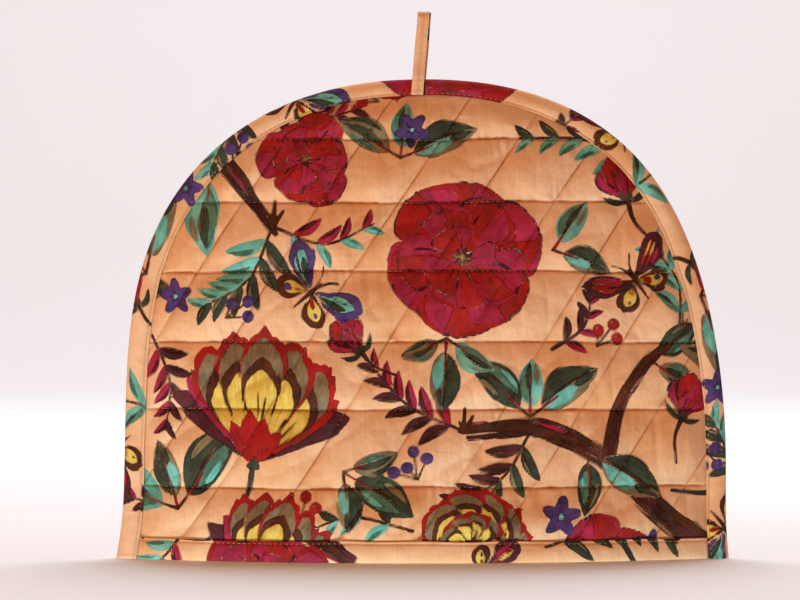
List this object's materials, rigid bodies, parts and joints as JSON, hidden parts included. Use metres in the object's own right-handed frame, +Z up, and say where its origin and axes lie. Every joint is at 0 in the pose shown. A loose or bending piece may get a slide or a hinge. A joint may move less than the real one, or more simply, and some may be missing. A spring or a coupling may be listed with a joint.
{
  "type": "quilted tea cosy",
  "caption": "Arch-shaped quilted cotton tea cosy, open at the hem, with bound edges and a small hanging loop at the top.",
  "frame": {"origin": "middle of the hem's opening, on the surface that the hem rests on", "axes": "+X along the hem, -Y the way the front panel faces, +Z up to the arch and loop"},
  "size_m": [0.352, 0.0904, 0.314],
  "materials": {
    "quilted_print": "apricot printed cotton, quilted",
    "binding_print": "apricot printed cotton strip",
    "loop_print": "apricot printed cotton strip"
  },
  "bodies": {
    "root": {"front_panel": "quilted_print", "back_panel": "quilted_print", "arch_binding": "binding_print", "front_hem_binding": "binding_print", "back_hem_binding": "binding_print", "hanging_loop": "loop_print"}
  },
  "joints": []
}
